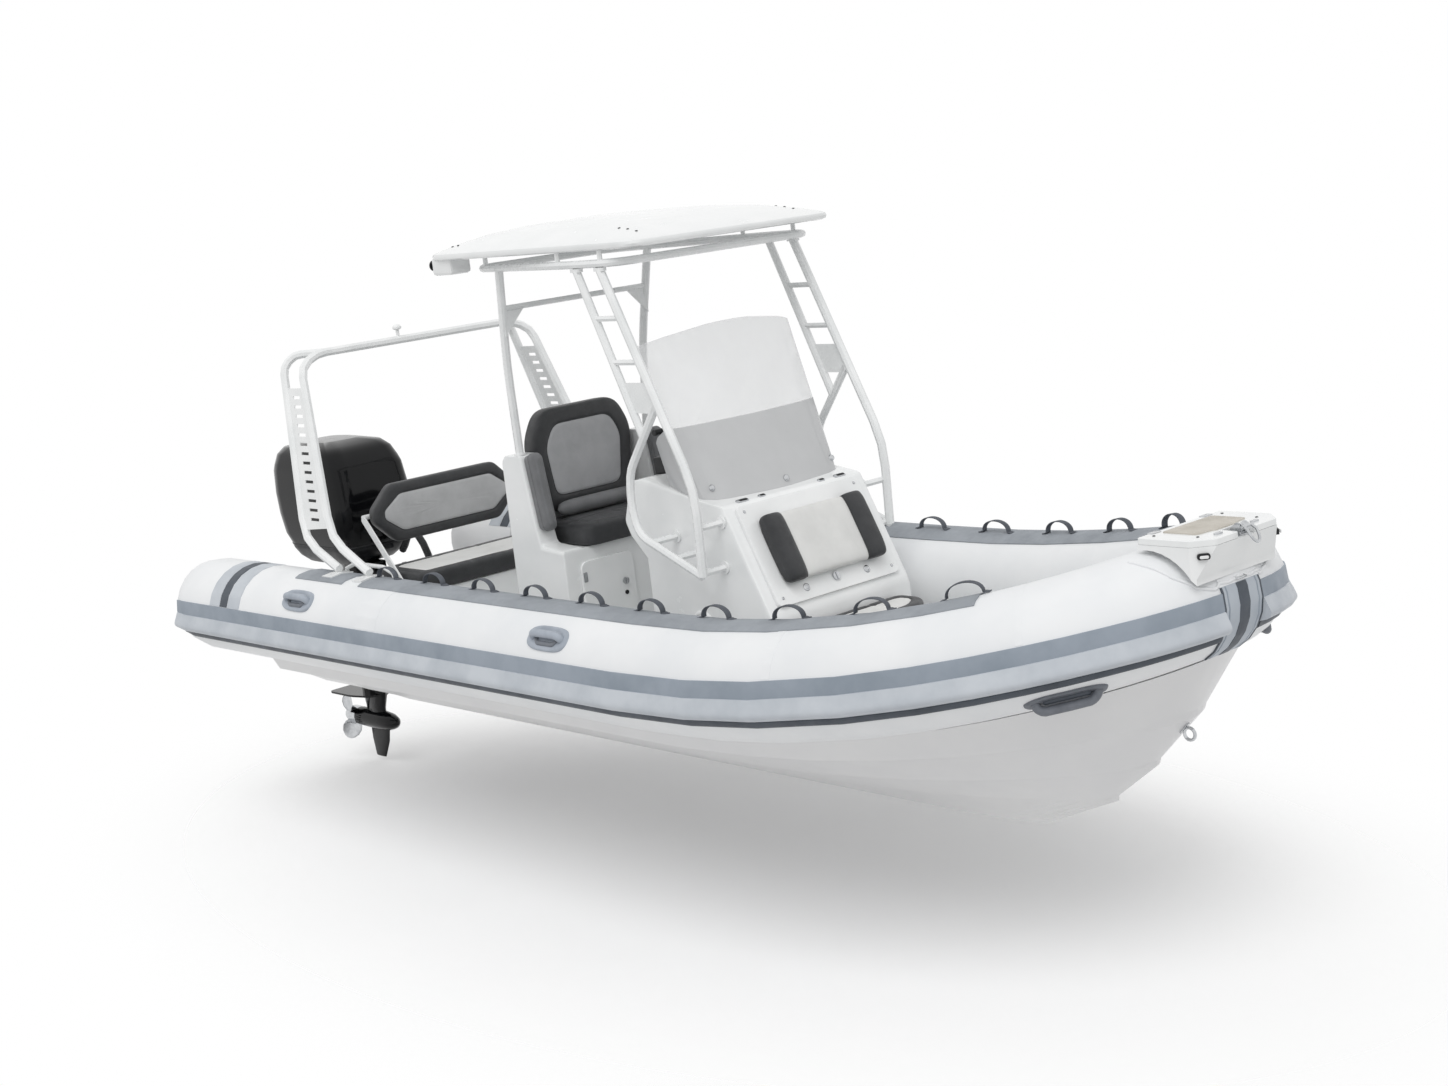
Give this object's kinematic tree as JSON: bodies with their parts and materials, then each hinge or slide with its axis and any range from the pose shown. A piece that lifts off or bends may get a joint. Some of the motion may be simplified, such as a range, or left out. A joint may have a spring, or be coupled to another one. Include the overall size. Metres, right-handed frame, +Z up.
{
  "type": "rigid inflatable boat",
  "caption": "Rigid inflatable boat with a deep-V hull, buoyancy tubes, a forward-facing console under a hard top, helm and aft seats, a roll bar and an outboard motor.",
  "frame": {"origin": "under the keel amidships, on the flat keel pad's underside, on the centreline", "axes": "+X towards the bow, +Y to port, +Z up; floor of the cockpit level"},
  "size_m": [6.99, 2.5446, 3.226],
  "materials": {
    "gelcoat_white": "moulded glass-fibre with a gelcoat gloss",
    "tube_white": "synthetic rubber coated fabric, satin",
    "band_grey": "extruded rubber rubbing strake, satin",
    "grip_grey": "textured non-slip rubber, matt",
    "handle_grey": "moulded rubber handle, satin",
    "handle_dark": "moulded rubber handle, matt",
    "alloy_white": "powder-coated aluminium tube, gloss",
    "steel": "polished stainless steel",
    "screen_clear": "clear acrylic",
    "screen_grey": "grey tinted acrylic",
    "leatherette_grey": "light grey marine upholstery",
    "leatherette_dark": "dark grey marine upholstery",
    "plastic_black": "moulded plastic, satin",
    "motor_black": "gloss black marine paint",
    "motor_core": "cast and machined alloy, dull",
    "hose_dark": "corrugated rigging hose, matt",
    "light_white": "opal plastic lens, gloss",
    "deck_grey": "non-slip moulded deck, satin"
  },
  "bodies": {
    "boat": {"hull": "gelcoat_white", "deck": "deck_grey", "tube_starboard": "tube_white", "tube_port": "tube_white", "tube_bow": "tube_white", "rub_strake_starboard": "band_grey", "rub_strake_port": "band_grey", "grip_strip_starboard": "grip_grey", "grip_strip_port": "grip_grey", "bow_wrap": "band_grey", "carry_handle_aft_starboard": "handle_grey", "carry_handle_aft_port": "handle_grey", "carry_handle_fore_starboard": "handle_grey", "carry_handle_fore_port": "handle_grey", "bow_handle_starboard": "handle_dark", "bow_handle_port": "handle_dark", "anchor_locker": "gelcoat_white", "bow_roller_bracket": "steel", "nav_light_starboard": "plastic_black", "nav_light_port": "plastic_black", "bow_eye": "steel", "console": "gelcoat_white", "front_seat_cushion": "leatherette_grey", "windscreen_lower": "screen_grey", "windscreen_upper": "screen_clear", "throttle_box": "plastic_black", "ttop_frame_starboard": "alloy_white", "ttop_frame_port": "alloy_white", "ttop_aft_frame": "alloy_white", "ttop_roof": "gelcoat_white", "helm_pod": "gelcoat_white", "helm_seat_cushion": "leatherette_dark", "helm_back_cushion": "leatherette_dark", "helm_bolster_starboard": "leatherette_dark", "helm_bolster_port": "leatherette_dark", "bench_base": "gelcoat_white", "aft_rail_starboard": "alloy_white", "aft_rail_port": "alloy_white", "arch": "alloy_white", "allround_light": "light_white", "transom_bracket": "motor_black", "rigging_hose": "hose_dark"},
    "locker_lid": {"anchor_locker_lid": "gelcoat_white"},
    "roller": {"bow_roller": "steel"},
    "front_door": {"console_door": "gelcoat_white", "console_door_cushion": "leatherette_grey"},
    "front_latch": {"door_latch": "steel"},
    "wheel": {"steering_wheel": "plastic_black"},
    "throttle": {"throttle_lever": "plastic_black"},
    "pod_door": {"helm_door": "gelcoat_white"},
    "pod_lock": {"helm_door_lock": "steel"},
    "bench_lid": {"bench_cushion": "leatherette_grey"},
    "bench_back": {"bench_back_frame": "alloy_white", "bench_back_cushion": "leatherette_grey"},
    "swivel": {"swivel_bracket": "motor_black"},
    "outboard": {"motor_leg": "motor_black", "motor_pan": "motor_black", "motor_cowl": "motor_black", "powerhead": "motor_core"},
    "propeller": {"propeller": "motor_black"}
  },
  "joints": [
    {"name": "motor_tilt", "type": "hinge", "parent": "boat", "child": "swivel", "pos_m": [-2.835, 0, 0.765], "axis": [0, 1, 0], "range_deg": [0, 45]},
    {"name": "motor_steer", "type": "hinge", "parent": "swivel", "child": "outboard", "pos_m": [-2.955, 0, 0.8], "axis": [0, 0, 1], "range_deg": [-30, 30], "deforming": ["rigging_hose"]},
    {"name": "prop_spin", "type": "hinge", "parent": "outboard", "child": "propeller", "pos_m": [-3.3806, 0, -0.19], "axis": [1, 0, 0], "continuous": true},
    {"name": "wheel_steer", "type": "hinge", "parent": "boat", "child": "wheel", "pos_m": [0.14269, 0.13, 1.42931], "axis": [-0.9389, 0, 0.3442], "range_deg": [-540, 540]},
    {"name": "throttle_shift", "type": "hinge", "parent": "boat", "child": "throttle", "pos_m": [0.24896, -0.2262, 1.59855], "axis": [0, 1, 0], "range_deg": [-40, 60]},
    {"name": "front_door_hinge", "type": "hinge", "parent": "boat", "child": "front_door", "pos_m": [0.84976, 0, 1.42134], "axis": [0, -1, 0], "range_deg": [0, 80]},
    {"name": "front_latch_turn", "type": "hinge", "parent": "front_door", "child": "front_latch", "pos_m": [1.06449, 0, 1.03498], "axis": [0.8934, 0, 0.4492], "range_deg": [0, 90]},
    {"name": "pod_door_hinge", "type": "hinge", "parent": "boat", "child": "pod_door", "pos_m": [-0.3937, -0.37, 0.83], "axis": [0, 0, -1], "range_deg": [0, 100]},
    {"name": "pod_lock_turn", "type": "hinge", "parent": "pod_door", "child": "pod_lock", "pos_m": [-0.3934, -0.1, 0.93], "axis": [1, 0, 0], "range_deg": [0, 90]},
    {"name": "locker_lid_hinge", "type": "hinge", "parent": "boat", "child": "locker_lid", "pos_m": [3.035, 0, 1.3603], "axis": [0, -1, 0], "range_deg": [0, 80]},
    {"name": "roller_spin", "type": "hinge", "parent": "boat", "child": "roller", "pos_m": [3.325, 0, 1.3903], "axis": [0, 1, 0], "continuous": true},
    {"name": "bench_back_hinge", "type": "hinge", "parent": "boat", "child": "bench_back", "pos_m": [-1.74, 0, 0.78], "axis": [0, 1, 0], "range_deg": [0, 90]},
    {"name": "bench_lid_hinge", "type": "hinge", "parent": "boat", "child": "bench_lid", "pos_m": [-2.12, 0, 0.8553], "axis": [0, -1, 0], "range_deg": [0, 40]}
  ],
  "couplings": [
    {"joint": "wheel_steer", "follows": "motor_steer", "ratio": -18}
  ]
}
